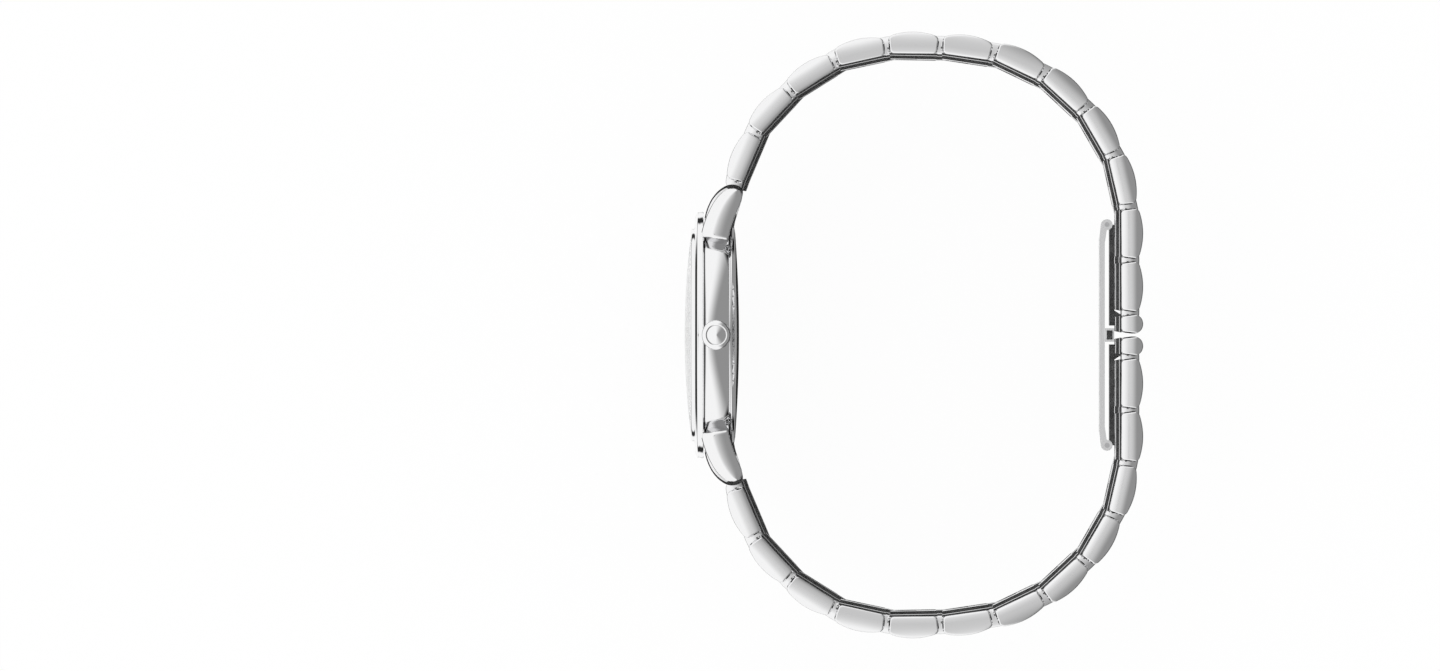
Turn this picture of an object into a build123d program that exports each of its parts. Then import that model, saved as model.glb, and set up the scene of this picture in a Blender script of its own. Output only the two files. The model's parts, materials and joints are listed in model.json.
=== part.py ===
"""Bracelet watch: a small round two-hand watch on a three-row link bracelet with a butterfly clasp.

The watch lies on its side, crown up, with the bracelet closed. X runs from the dial to
the wrist, Y towards 12 o'clock and Z towards 3 o'clock. The origin is the centre of the
case back's outer face, and the loop is symmetric about the plane Y = 0.
Every length is in millimetres and every angle in degrees.
"""

import os
from math import cos, radians, sin

from build123d import *

os.makedirs("parts", exist_ok=True)

# Case, along X
case_back_height = 1.18
middle_height = 2.95
bezel_height = 1.55
crystal_rise = 0.70
crystal_edge = 1.05

# Case, across X: the mid case carries the others, each wider or narrower by its own step
middle_diameter = 27.6
bezel_overhang = 0.70
bezel_step_width = 2.0
bezel_rim_width = 0.90
case_back_step = 0.80
case_back_rim = 1.45
back_thickness = 0.65
spigot_wall = 0.50
lip_width = 0.55
lip_slope = 0.26
back_chamfer = 0.45

# Lugs, and the spring bars and end links between them
lug_gap = 14.0
lug_width = 2.4
lug_overhang = 3.47
end_link_clearance = 0.10
spring_bar_radius = 0.75
spring_bar_tip_radius = 0.40
spring_bar_tip_length = 0.90

# Bracelet
links_per_side = 12
pitch = 6.25
first_link_width = 13.8
last_link_width = 11.5
centre_row_width = 4.8
row_gap = 0.06
link_gap = 0.15
pin_height = 1.15
pin_radius = 0.45
pin_clearance = 0.05
pin_sides = 12
pin_inset = 0.90
outer_apex = 2.10
outer_shoulder = 1.50
centre_apex = 1.70
centre_shoulder = 1.30
band_height = 0.60
band_inset = 0.30
base_inset = 0.45
first_pin_x = 0.27
lug_to_link = 0.53

# Headings, turned from 12 o'clock towards the wrist
end_link_heading = 20.0
seen_headings = (23.0, 43.0, 58.0, 78.0, 91.0, 98.5)
clasp_heading = 180.0

# Butterfly clasp
seam_gap = 0.20
seam_to_pin = 1.60
clasp_half_length = 13.0
clasp_plate = 0.60
blade_gap = 0.10
bridge_gap = 0.55
bridge_width = 8.0
arm_side_gap = 0.10
arm_eye_radius = 0.70
bridge_eye_radius = 0.60
knuckle_radius = 0.65
ear_length = 1.60
clasp_pin_radius = 0.30
catch_length = 1.60
catch_width = 9.4
catch_wall = 0.20
tab_gap = 0.20
pusher_gap = 0.05
pusher_travel = 0.40
pusher_reach = 0.60

# Crown, stem and tube
crown_diameter = 3.50
crown_length = 2.30
crown_gap = 0.30
crown_recess_diameter = 2.36
crown_flutes = 18
stem_radius = 0.45
tube_radius = 0.90
tube_bore_radius = 0.55
crown_gasket_section = 0.30
crown_wall = 0.50
flute_size = 0.18
recess_depth = 0.15
tube_clearance = 0.15

# Dial side
dial_depth = 0.53
dial_fit = 0.35
dial_thickness = 0.25
marker_count = 12
marker_length = 2.0
marker_width = 0.50
marker_height = 0.20
hand_thickness = 0.12
hand_gap = 0.18
minute_hand_share = 0.8393
hour_hand_share = 0.5714
hand_width = 0.80
shown_hour_angle = 304.0
shown_minute_angle = 48.0

# Movement
holder_wall_y = 2.95
holder_wall_z = 3.95
movement_corner = 3.0
holder_sides = 16
main_plate_thickness = 0.60
motion_work_height = 0.45
battery_share = 0.3953
battery_height = 1.40
clamp_width = 1.4
clamp_thickness = 0.10
housing_height = 0.80
coil_radius = 0.55
stator_width = 0.60
stator_thickness = 0.40
circuit_thickness = 0.20
arbor_radius = 0.35
hour_tube_wall = 0.35
wheel_stud_radius = 0.20
wheel_sides = 16
pinion_sides = 8
running_gap = 0.05
wheel_thickness = 0.12
wheel_gap = 0.06
cannon_pinion_radius = 0.60
minute_wheel_radius = 1.80
minute_pinion_radius = 0.48

# Places that several pieces share
middle_back_x = -case_back_height
middle_front_x = middle_back_x - middle_height
bezel_front_x = middle_front_x - bezel_height
middle_radius = middle_diameter / 2
bezel_radius = middle_radius + bezel_overhang
step_radius = bezel_radius - bezel_step_width
crystal_radius = step_radius - bezel_rim_width
back_radius = middle_radius - case_back_step
cavity_radius = back_radius - case_back_rim
lip_radius = cavity_radius - lip_width
crown_x = (middle_front_x + middle_back_x) / 2
lug_inner = lug_gap / 2
lug_reach = middle_radius + lug_overhang
spring_bar_centre = (middle_back_x, middle_radius + 0.5271 * lug_overhang)
centre_half = centre_row_width / 2
outer_inner = centre_half + row_gap
piece_length = pitch - link_gap
centre_start = pitch / 2 - pin_inset


def save(builder, name):
    """Names a finished piece and writes it as one STEP file."""
    builder.part.label = name
    export_step(builder.part, f"parts/{name}.step")


def ring_outline(*points):
    """Revolves a closed outline of (x, radius) points about the watch's own axis."""
    with BuildSketch(Plane.XY) as profile:
        with BuildLine():
            Polyline(*points, close=True)
        make_face()
    revolve(profile.sketch, axis=Axis.X)


def disc(x_start, length, radius, centre=(0, 0), mode=Mode.ADD):
    """Adds or cuts a round plate that stands square to the watch's own axis."""
    with BuildSketch(Plane.YZ.offset(x_start)) as profile:
        with Locations(centre):
            Circle(radius)
    extrude(profile.sketch, amount=length, mode=mode)


def post(z_start, length, radius, centre=(crown_x, 0), mode=Mode.ADD):
    """Adds or cuts a round bar along the crown's direction."""
    with BuildSketch(Plane.XY.offset(z_start)) as profile:
        with Locations(centre):
            Circle(radius)
    extrude(profile.sketch, amount=length, mode=mode)


def pin(frame, half_length, radius, centre=(0, 0)):
    """Adds one of the bracelet's many pins, drawn many-sided, centred on the given plane."""
    with BuildSketch(frame.offset(-half_length)) as profile:
        with Locations(centre):
            RegularPolygon(radius, pin_sides)
    extrude(profile.sketch, amount=2 * half_length)


def pin_hole(frame, half_length, radius, centre=(0, 0)):
    """Cuts a many-sided hole whose flats lie at the given radius."""
    with BuildSketch(frame.offset(-half_length)) as profile:
        with Locations(centre):
            RegularPolygon(radius, pin_sides, major_radius=False)
    extrude(profile.sketch, amount=2 * half_length, mode=Mode.SUBTRACT)


# Case middle: a turned band with a lip over the dial, and four curved lugs
groove_radius = 0.957 * middle_radius
dial_front_x = middle_front_x + dial_depth
overrun = 1.0
lug_corner = (middle_front_x - 0.11 * middle_height, middle_radius - 0.503 * lug_overhang)
lug_front = (middle_front_x + 0.27 * middle_height, middle_radius + 0.353 * lug_overhang)
lug_shoulder = (middle_front_x + 0.82 * middle_height, middle_radius + 0.9353 * lug_overhang)
lug_tip = (middle_front_x + 1.16 * middle_height, lug_reach)
lug_nose = (middle_front_x + 1.41 * middle_height, middle_radius + 0.9353 * lug_overhang)
lug_side = (middle_front_x + 1.53 * middle_height, middle_radius + 0.8258 * lug_overhang)
lug_heel = (middle_front_x + 1.55 * middle_height, middle_radius + 0.7014 * lug_overhang)
lug_rear = (middle_front_x + 1.08 * middle_height, middle_radius - 0.1945 * lug_overhang)
lug_foot = (middle_front_x + 0.93 * middle_height, middle_radius - 0.7917 * lug_overhang)
lug_root = (middle_front_x, middle_radius - 0.8912 * lug_overhang)
bar_tip_half = lug_inner + spring_bar_tip_length
bar_centres = (spring_bar_centre, (spring_bar_centre[0], -spring_bar_centre[1]))

with BuildPart() as case_middle:
    ring_outline(
        (middle_back_x, 0.964 * middle_radius),
        (middle_back_x, cavity_radius + back_chamfer),
        (middle_back_x - back_chamfer, cavity_radius),
        (dial_front_x, cavity_radius),
        (dial_front_x, lip_radius - lip_slope),
        (middle_front_x, lip_radius),
        (middle_front_x, 0.985 * middle_radius),
        (crown_x, middle_radius),
    )
    for lug_plane in (Plane.XY.offset(lug_inner), Plane.XY.offset(-lug_inner - lug_width)):
        with BuildSketch(lug_plane):
            with BuildLine():
                ThreePointArc(lug_corner, lug_front, lug_shoulder)
                ThreePointArc(lug_shoulder, lug_tip, lug_nose)
                Polyline(lug_nose, lug_side, lug_heel, lug_rear, lug_foot, lug_root, lug_corner)
            make_face()
            mirror(about=Plane.XZ)
        extrude(amount=lug_width)
    disc(middle_front_x - bezel_height, bezel_height, bezel_radius + running_gap, mode=Mode.SUBTRACT)
    disc(dial_front_x, middle_height + overrun, cavity_radius, mode=Mode.SUBTRACT)
    post(0.8 * cavity_radius, middle_radius, tube_radius, mode=Mode.SUBTRACT)
    for centre in bar_centres:
        pin_hole(Plane.XY, bar_tip_half, spring_bar_tip_radius, centre)
save(case_middle, "case_middle")

with BuildPart() as spring_bars:
    for centre in bar_centres:
        pin(Plane.XY, bar_tip_half, spring_bar_tip_radius, centre)
        pin(Plane.XY, lug_inner - end_link_clearance, spring_bar_radius, centre)
save(spring_bars, "spring_bars")

# Bezel with its stepped front, and the crystal bonded into it
crystal_seat_x = bezel_front_x + crystal_edge

with BuildPart() as bezel:
    ring_outline(
        (middle_front_x, crystal_radius),
        (middle_front_x, groove_radius),
        (middle_front_x - 0.30 * bezel_height, bezel_radius),
        (middle_front_x - 0.52 * bezel_height, 0.988 * bezel_radius),
        (middle_front_x - 0.70 * bezel_height, step_radius),
        (bezel_front_x, 0.985 * step_radius),
        (bezel_front_x, crystal_radius),
    )
save(bezel, "bezel")

with BuildPart() as crystal:
    ring_outline(
        (crystal_seat_x, 0),
        (crystal_seat_x, crystal_radius),
        (bezel_front_x, crystal_radius),
        (bezel_front_x - 0.60 * crystal_rise, 0.63 * crystal_radius),
        (bezel_front_x - crystal_rise, 0.22 * crystal_radius),
        (bezel_front_x - crystal_rise, 0),
    )
save(crystal, "crystal")

# Dial and its applied hour markers
dial_back_x = dial_front_x + dial_thickness
dial_radius = cavity_radius - dial_fit
hour_tube_radius = arbor_radius + running_gap + hour_tube_wall

with BuildPart() as dial:
    disc(dial_front_x, dial_thickness, dial_radius)
    disc(dial_front_x, dial_thickness, hour_tube_radius + 2 * running_gap, mode=Mode.SUBTRACT)
save(dial, "dial")

with BuildPart() as hour_markers:
    with BuildSketch(Plane.YZ.offset(dial_front_x - marker_height)):
        with PolarLocations(0.82 * dial_radius, marker_count):
            Rectangle(marker_length, marker_width)
    extrude(amount=marker_height)
save(hour_markers, "hour_markers")

# Motion work: the centre arbor drives the minute wheel, and that drives the hour wheel
main_plate_front_x = dial_back_x + motion_work_height
main_plate_back_x = main_plate_front_x + main_plate_thickness
hour_layer_x = dial_back_x + 0.2 * motion_work_height
minute_layer_x = hour_layer_x + wheel_thickness + running_gap
motion_distance = cannon_pinion_radius + minute_wheel_radius + wheel_gap
hour_wheel_radius = motion_distance - wheel_gap - minute_pinion_radius
minute_wheel_centre = (0, -motion_distance)
hour_hand_back_x = dial_front_x - marker_height - 0.5 * hand_gap
hour_hand_front_x = hour_hand_back_x - hand_thickness
minute_hand_back_x = hour_hand_front_x - hand_gap
minute_hand_front_x = minute_hand_back_x - hand_thickness
arbor_back_x = main_plate_back_x + main_plate_thickness


def wheel(x_start, thickness, radius, sides, centre=(0, 0)):
    """Adds a wheel or pinion, drawn many-sided in place of its fine teeth."""
    with BuildSketch(Plane.YZ.offset(x_start)) as profile:
        with Locations(centre):
            RegularPolygon(radius, sides)
    extrude(profile.sketch, amount=thickness)


with BuildPart() as centre_arbor:
    disc(minute_hand_front_x, arbor_back_x - minute_hand_front_x, arbor_radius)
    wheel(minute_layer_x, wheel_thickness, cannon_pinion_radius, pinion_sides)
save(centre_arbor, "centre_arbor")

with BuildPart() as minute_wheel:
    wheel(minute_layer_x, wheel_thickness, minute_wheel_radius, wheel_sides, minute_wheel_centre)
    pinion_height = minute_layer_x - hour_layer_x
    wheel(hour_layer_x, pinion_height, minute_pinion_radius, pinion_sides, minute_wheel_centre)
    disc(
        hour_layer_x,
        motion_work_height,
        wheel_stud_radius + running_gap,
        minute_wheel_centre,
        Mode.SUBTRACT,
    )
save(minute_wheel, "minute_wheel")

with BuildPart() as hour_wheel:
    wheel(hour_layer_x, wheel_thickness, hour_wheel_radius, wheel_sides)
    disc(hour_hand_front_x, hour_layer_x - hour_hand_front_x, hour_tube_radius)
    disc(
        hour_hand_front_x,
        hour_layer_x + wheel_thickness - hour_hand_front_x,
        arbor_radius + running_gap,
        mode=Mode.SUBTRACT,
    )
save(hour_wheel, "hour_wheel")


def hand(x_start, length, bore_radius, angle):
    """Draws a tapered hand with a round boss, turned clockwise from 12 o'clock as seen from the dial side."""
    plane = Plane(
        origin=(x_start, 0, 0), x_dir=(0, cos(radians(angle)), sin(radians(angle))), z_dir=(1, 0, 0)
    )
    with BuildSketch(plane) as profile:
        with BuildLine():
            Polyline(
                (-0.22 * length, hand_width / 4),
                (0.12 * length, hand_width / 2),
                (length, 0),
                (0.12 * length, -hand_width / 2),
                (-0.22 * length, -hand_width / 4),
                close=True,
            )
        make_face()
        RegularPolygon(bore_radius + 0.45 * hand_width, pin_sides)
        Circle(bore_radius, mode=Mode.SUBTRACT)
    extrude(profile.sketch, amount=hand_thickness)


with BuildPart() as minute_hand:
    hand(minute_hand_front_x, minute_hand_share * dial_radius, arbor_radius, shown_minute_angle)
save(minute_hand, "minute_hand")

with BuildPart() as hour_hand:
    hand(hour_hand_front_x, hour_hand_share * dial_radius, hour_tube_radius, shown_hour_angle)
save(hour_hand, "hour_hand")

# Movement: a plate, a closed train housing, battery, coil and circuit, in a plastic ring
holder_radius = cavity_radius - running_gap
holder_back_x = middle_back_x - 0.45 * case_back_height
movement_half_y = cavity_radius - holder_wall_y
movement_half_z = cavity_radius - holder_wall_z
movement_length = 2 * movement_half_y
movement_width = 2 * movement_half_z
stem_inner_z = 0.85 * movement_half_z
stem_slot = stem_radius + 2 * running_gap
battery_radius = battery_share * movement_half_y
battery_centre = (-0.50 * movement_half_y, -0.18 * movement_half_z)
battery_x = main_plate_back_x + running_gap
housing_start_y = arbor_radius + 2 * running_gap
coil_centre = (-0.47 * movement_half_y, 0.54 * movement_half_z)
coil_length = 0.62 * movement_half_y


def movement_outline(margin):
    """Draws the movement's outline, a rectangle with its corners cut, larger by the margin."""
    with BuildSketch() as outline:
        Rectangle(movement_length + 2 * margin, movement_width + 2 * margin)
        chamfer(outline.vertices(), movement_corner)
    return outline.sketch


def stem_notch(x_start, x_end, z_start, z_end):
    """Cuts the slot that the stem lies in."""
    with BuildSketch(Plane.YZ.offset(x_start)) as notch:
        with Locations((0, (z_start + z_end) / 2)):
            Rectangle(2 * stem_slot, z_end - z_start)
    extrude(notch.sketch, amount=x_end - x_start, mode=Mode.SUBTRACT)


with BuildPart() as movement_holder:
    with BuildSketch(Plane.YZ.offset(dial_back_x)):
        RegularPolygon(holder_radius, holder_sides)
        add(movement_outline(running_gap), mode=Mode.SUBTRACT)
    extrude(amount=holder_back_x - dial_back_x)
    stem_notch(crown_x - stem_slot, holder_back_x, 0, cavity_radius)
save(movement_holder, "movement_holder")

with BuildPart() as main_plate:
    with BuildSketch(Plane.YZ.offset(main_plate_front_x)):
        add(movement_outline(0))
        Circle(arbor_radius + running_gap, mode=Mode.SUBTRACT)
    extrude(amount=main_plate_thickness)
    stem_notch(main_plate_front_x, main_plate_back_x, stem_inner_z - running_gap, movement_width)
    disc(hour_layer_x, motion_work_height, wheel_stud_radius, minute_wheel_centre)
save(main_plate, "main_plate")

with BuildPart() as train_housing:
    with BuildSketch(Plane.YZ.offset(main_plate_back_x)):
        add(movement_outline(-2 * running_gap))
        with Locations((housing_start_y - movement_half_y, 0)):
            Rectangle(movement_length, movement_width, mode=Mode.SUBTRACT)
    extrude(amount=housing_height)
    housing_back_x = main_plate_back_x + housing_height
    stem_notch(main_plate_back_x, housing_back_x, stem_inner_z - running_gap, movement_width)
save(train_housing, "train_housing")

with BuildPart() as battery:
    disc(battery_x, battery_height, battery_radius, battery_centre)
save(battery, "battery")

with BuildPart() as battery_clamp:
    with BuildSketch(Plane.YZ.offset(battery_x + battery_height)):
        with Locations(battery_centre):
            Rectangle(clamp_width, 2.4 * battery_radius)
    extrude(amount=clamp_thickness)
save(battery_clamp, "battery_clamp")

with BuildPart() as coil:
    coil_x = main_plate_back_x + running_gap + coil_radius
    coil_plane = Plane(origin=(coil_x, coil_centre[0], coil_centre[1]), z_dir=(0, 1, 0))
    pin(coil_plane, coil_length / 2, coil_radius)
save(coil, "coil")

with BuildPart() as stator:
    with BuildSketch(Plane.YZ.offset(main_plate_back_x)):
        with Locations((coil_centre[0], coil_centre[1] + coil_radius + stator_width)):
            Rectangle(coil_length, stator_width)
    extrude(amount=stator_thickness)
save(stator, "stator")

with BuildPart() as circuit_board:
    with BuildSketch(Plane.YZ.offset(main_plate_back_x + housing_height)):
        with Locations((0.42 * movement_half_y, 0)):
            Rectangle(0.5 * movement_half_y, 1.4 * movement_half_z)
    extrude(amount=circuit_thickness)
save(circuit_board, "circuit_board")

# Case back: a snap-on cap with a spigot in the cavity, and a gasket in the corner ahead of it
spigot_radius = cavity_radius - running_gap

with BuildPart() as case_back:
    ring_outline(
        (0, 0),
        (-back_thickness, 0),
        (-back_thickness, spigot_radius - spigot_wall),
        (holder_back_x, spigot_radius - spigot_wall),
        (holder_back_x, spigot_radius),
        (middle_back_x, spigot_radius),
        (middle_back_x, back_radius),
        (-0.42 * case_back_height, back_radius),
        (0, 0.955 * back_radius),
    )
save(case_back, "case_back")

with BuildPart() as case_back_gasket:
    ring_outline(
        (middle_back_x, spigot_radius),
        (middle_back_x, cavity_radius + back_chamfer),
        (middle_back_x - back_chamfer - running_gap, spigot_radius),
    )
save(case_back_gasket, "case_back_gasket")

# Crown at 3 o'clock: it slides on its tube and turns the stem
crown_radius = crown_diameter / 2
crown_start_z = middle_radius + crown_gap
crown_end_z = crown_start_z + crown_length
crown_hollow_radius = crown_radius - crown_wall
crown_hollow_depth = 0.60 * crown_length
crown_shoulder = 0.18 * crown_length
tube_end_z = crown_start_z + crown_hollow_depth - tube_clearance
tube_start_z = cavity_radius + tube_clearance
gasket_z = crown_start_z + crown_gasket_section

with BuildPart() as crown_tube:
    post(tube_start_z, tube_end_z - tube_start_z, tube_radius)
    post(tube_start_z, tube_end_z - tube_start_z, tube_bore_radius, mode=Mode.SUBTRACT)
save(crown_tube, "crown_tube")

with BuildPart() as stem:
    post(stem_inner_z, crown_start_z + crown_hollow_depth - stem_inner_z, stem_radius)
save(stem, "stem")

with BuildPart() as crown:
    with BuildSketch(Plane.XY.offset(crown_start_z)):
        with Locations((crown_x, 0)):
            Circle(crown_radius)
            with PolarLocations(crown_radius, crown_flutes):
                RegularPolygon(flute_size / 2, 4, mode=Mode.SUBTRACT)
    extrude(amount=crown_length - crown_shoulder)
    with BuildSketch(Plane.XZ):
        with BuildLine():
            Polyline(
                (crown_x, crown_end_z - crown_shoulder),
                (crown_x + crown_radius - flute_size / 2, crown_end_z - crown_shoulder),
                (crown_x + 0.90 * crown_radius, crown_end_z - 0.30 * crown_shoulder),
                (crown_x + 0.80 * crown_radius, crown_end_z),
                (crown_x + crown_recess_diameter / 2, crown_end_z),
                (crown_x + crown_recess_diameter / 2, crown_end_z - recess_depth),
                (crown_x, crown_end_z - recess_depth),
                close=True,
            )
        make_face()
    revolve(axis=Axis((crown_x, 0, 0), (0, 0, 1)))
    post(crown_start_z, crown_hollow_depth, crown_hollow_radius, mode=Mode.SUBTRACT)
save(crown, "crown")

with BuildPart() as crown_gasket:
    post(gasket_z, crown_gasket_section, crown_hollow_radius - running_gap / 2)
    post(gasket_z, crown_gasket_section, tube_radius + running_gap / 2, mode=Mode.SUBTRACT)
save(crown_gasket, "crown_gasket")


# Bracelet: each link is two outer pieces and a centre piece that reaches into the next link
def link_frame(pin, heading):
    """The plane of a link's side outline: X along the link, Y away from the wrist, origin on its pin."""
    return Plane(
        origin=(pin[0], pin[1], 0),
        x_dir=(sin(radians(heading)), cos(radians(heading)), 0),
        z_dir=(0, 0, 1),
    )


def link_face(start, end, apex, shoulder):
    """Draws the side of one piece: flat base, bevelled band, leaning ends and a domed top."""
    band_top = band_height - pin_height
    with BuildLine() as outline:
        top = ThreePointArc((start, shoulder), ((start + end) / 2, apex), (end, shoulder))
        Polyline(
            top @ 1,
            (end - band_inset, band_top),
            (end - base_inset, -pin_height),
            (start + base_inset, -pin_height),
            (start + band_inset, band_top),
            top @ 0,
        )
    make_face(outline.edges())


def link_body(frame, width):
    """Adds the two outer pieces, the hinge pin between them and the centre piece with its eye."""
    for side_z in (outer_inner, -width / 2):
        with BuildSketch(frame.offset(side_z)) as outer:
            link_face(-pin_inset, piece_length - pin_inset, outer_apex, outer_shoulder)
        extrude(outer.sketch, amount=width / 2 - outer_inner)
    pin(frame, outer_inner, pin_radius)


def centre_body(frame, start, end):
    """Adds a centre piece, widened where it joins the outer pieces of its own link."""
    join_end = piece_length - pin_inset - base_inset
    with BuildSketch(frame.offset(-centre_half)) as centre:
        link_face(start, end, centre_apex, centre_shoulder)
    extrude(centre.sketch, amount=centre_row_width)
    with BuildSketch(frame.offset(-outer_inner)) as joint:
        with BuildLine():
            Polyline(
                (start + band_inset, band_height - pin_height),
                (join_end, band_height - pin_height),
                (join_end, centre_shoulder),
                (start + band_inset, centre_shoulder),
                close=True,
            )
        make_face()
    extrude(joint.sketch, amount=2 * outer_inner)


def headings_for(turn):
    """Headings of one side's links, where each unseen link turns by the same angle until it runs straight."""
    unseen = range(1, links_per_side - len(seen_headings) + 1)
    return [*seen_headings, *(min(clasp_heading, seen_headings[-1] + turn * n) for n in unseen)]


def pins_for(headings):
    """Places of one side's pins, from the first link's to the clasp arm's."""
    first_pin_y = lug_reach + lug_to_link + pin_inset
    pins = [(first_pin_x, first_pin_y)]
    for heading in headings:
        x, y = pins[-1]
        pins.append((x + pitch * sin(radians(heading)), y + pitch * cos(radians(heading))))
    return pins


def closing_turn():
    """Finds the turn of each unseen link with which the two halves meet at the seam."""
    low, high = 0.0, clasp_heading - seen_headings[-1]
    for _ in range(50):
        middle = (low + high) / 2
        if pins_for(headings_for(middle))[-1][1] > seam_to_pin:
            low = middle
        else:
            high = middle
    return (low + high) / 2


headings = headings_for(closing_turn())
pins = pins_for(headings)
clasp_x, clasp_y = pins[-1]


def save_pair(builder, stem_name):
    """Writes a piece of the 12 o'clock half and its mirror image for the 6 o'clock half."""
    save(builder, stem_name.format("12h"))
    with BuildPart() as mirrored:
        mirror(builder.part, about=Plane.XZ)
    save(mirrored, stem_name.format("6h"))


# End links, which fill the space between the lugs and carry the first links
end_half = lug_inner - end_link_clearance
end_frame = link_frame(pins[0], end_link_heading)
proud = 0.40

with BuildPart() as end_link:
    with BuildSketch(Plane.XY.offset(-end_half)):
        with BuildLine():
            front_start = (middle_front_x + running_gap, middle_radius + 0.0046 * lug_overhang)
            front_middle = (lug_front[0] - 0.05 * middle_height, lug_front[1] + proud)
            front_end = (lug_shoulder[0] + running_gap, lug_shoulder[1] + proud)
            nose = (lug_tip[0], lug_reach + proud)
            heel = (lug_nose[0] + running_gap, lug_nose[1])
            ThreePointArc(front_start, front_middle, front_end)
            ThreePointArc(front_end, nose, heel)
            Polyline(heel, lug_heel, lug_rear, lug_foot, (middle_front_x + running_gap, lug_root[1]))
            Line((middle_front_x + running_gap, lug_root[1]), front_start)
        make_face()
    extrude(amount=2 * end_half)
    centre_end = centre_start + piece_length - pitch
    with BuildSketch(end_frame.offset(-centre_half)):
        link_face(centre_end - piece_length + centre_start, centre_end, centre_apex, centre_shoulder)
    extrude(amount=centre_row_width)
    disc(
        middle_front_x,
        middle_height + overrun + case_back_height,
        middle_radius + end_link_clearance,
        mode=Mode.SUBTRACT,
    )
    disc(bezel_front_x, bezel_height, bezel_radius + end_link_clearance, mode=Mode.SUBTRACT)
    pin_hole(Plane.XY, end_half, spring_bar_radius + running_gap, spring_bar_centre)
    pin_hole(Plane.XY, end_half, pin_radius + pin_clearance, pins[0])
save_pair(end_link, "end_link_{}")

link_names = []
for index in range(links_per_side - 1):
    frame = link_frame(pins[index], headings[index])
    taper = (first_link_width - last_link_width) / (links_per_side - 1)
    with BuildPart() as link:
        link_body(frame, first_link_width - taper * index)
        centre_body(frame, centre_start, centre_start + piece_length)
        pin_hole(frame, outer_inner, pin_radius + pin_clearance, (pitch, 0))
    save_pair(link, f"link_{{}}_{index + 1:02d}")

# Last link: a half length more, an undercut centre piece for the clasp arm's eye, and a catch tab
seam_u = pitch + clasp_y - seam_gap / 2
notch_u = pitch - arm_eye_radius - 1.25 * clasp_plate
cover_v = arm_eye_radius + pin_clearance
tab_z = outer_inner + 0.5 * clasp_plate
tab_width = 2.4 * clasp_plate
tab_u = pitch + seam_to_pin - catch_length / 2 - tab_gap - clasp_plate
tab_depth = 1.5 * clasp_plate
last_frame = link_frame(pins[-2], headings[-1])

with BuildPart() as last_link:
    link_body(last_frame, last_link_width)
    centre_body(last_frame, centre_start, seam_u)
    with BuildSketch(last_frame.offset(-outer_inner)):
        with Locations(((notch_u + seam_u + overrun) / 2, cover_v - pin_height)):
            Rectangle(seam_u + overrun - notch_u, 2 * pin_height)
    extrude(amount=2 * outer_inner, mode=Mode.SUBTRACT)
    for side_z in (outer_inner, -last_link_width / 2):
        with BuildSketch(last_frame.offset(side_z)):
            link_face(pitch - pin_inset, seam_u, centre_apex, centre_shoulder)
            with Locations((pitch - pin_inset, 0)):
                Rectangle(2 * pin_inset, 2 * pin_radius)
        extrude(amount=last_link_width / 2 - outer_inner)
    for side_z in (tab_z, -tab_z - tab_width):
        with BuildSketch(last_frame.offset(side_z)):
            with Locations((tab_u + clasp_plate / 2, -pin_height)):
                Rectangle(clasp_plate, 2 * tab_depth)
        extrude(amount=tab_width)
    pin(last_frame, outer_inner, pin_radius, (pitch, 0))
    with BuildSketch(last_frame.offset(-outer_inner)):
        with Locations((seam_u - clasp_plate / 2 - base_inset, cover_v + clasp_plate / 4)):
            Rectangle(clasp_plate, clasp_plate / 2)
    extrude(amount=2 * outer_inner)
save_pair(last_link, f"link_{{}}_{links_per_side:02d}")

# Clasp: an inner bridge, two arms hinged at its ends, a catch block and two pushers
clasp_frame = Plane(origin=(clasp_x, 0, 0), x_dir=(0, 1, 0), z_dir=(0, 0, -1))
blade_top = pin_height + blade_gap
blade_base = blade_top + clasp_plate
bridge_top = blade_base + bridge_gap
bridge_base = bridge_top + clasp_plate
bridge_eye_v = blade_base + bridge_gap / 2
arm_half = centre_half - arm_side_gap
knuckle_inner = arm_half + arm_side_gap
bridge_half = bridge_width / 2
pin_stub = bridge_half - knuckle_inner
plate_half = clasp_half_length - ear_length

with BuildPart() as clasp_arm:
    with BuildSketch(clasp_frame.offset(-arm_half)):
        with BuildLine():
            Polyline(
                (clasp_y - 0.7 * arm_eye_radius, 0),
                (clasp_y + 0.7 * arm_eye_radius, 0),
                (clasp_y + arm_eye_radius + clasp_plate, -blade_top),
                (clasp_half_length, -blade_top),
                (clasp_half_length, -blade_base),
                (clasp_y - 0.7 * arm_eye_radius, -blade_base),
                close=True,
            )
        make_face()
        with Locations((clasp_y, 0)):
            RegularPolygon(arm_eye_radius, pin_sides)
            RegularPolygon(pin_radius + pin_clearance, pin_sides, False, mode=Mode.SUBTRACT)
        with Locations((clasp_half_length, -bridge_eye_v)):
            RegularPolygon(bridge_eye_radius, pin_sides)
            RegularPolygon(clasp_pin_radius + pin_clearance, pin_sides, False, mode=Mode.SUBTRACT)
    extrude(amount=2 * arm_half)
save_pair(clasp_arm, "clasp_arm_{}")

with BuildPart() as clasp_bridge:
    with BuildSketch(clasp_frame.offset(-bridge_half)):
        with Locations((0, -(bridge_top + bridge_base) / 2)):
            Rectangle(2 * plate_half, clasp_plate)
    extrude(amount=bridge_width)
    for knuckle_z in (-bridge_half, knuckle_inner):
        with BuildSketch(clasp_frame.offset(knuckle_z)):
            with BuildLine():
                Polyline(
                    (plate_half - clasp_plate, -bridge_base),
                    (clasp_half_length, -bridge_eye_v - knuckle_radius),
                    (clasp_half_length, -bridge_eye_v),
                    (clasp_half_length - 0.6 * knuckle_radius, -bridge_eye_v),
                    (plate_half - clasp_plate, -bridge_top),
                    close=True,
                )
            make_face()
            with Locations((clasp_half_length, -bridge_eye_v)):
                RegularPolygon(knuckle_radius, pin_sides)
                RegularPolygon(clasp_pin_radius, pin_sides, mode=Mode.SUBTRACT)
            mirror(about=Plane.YZ)
        extrude(amount=bridge_half - knuckle_inner)
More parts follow.
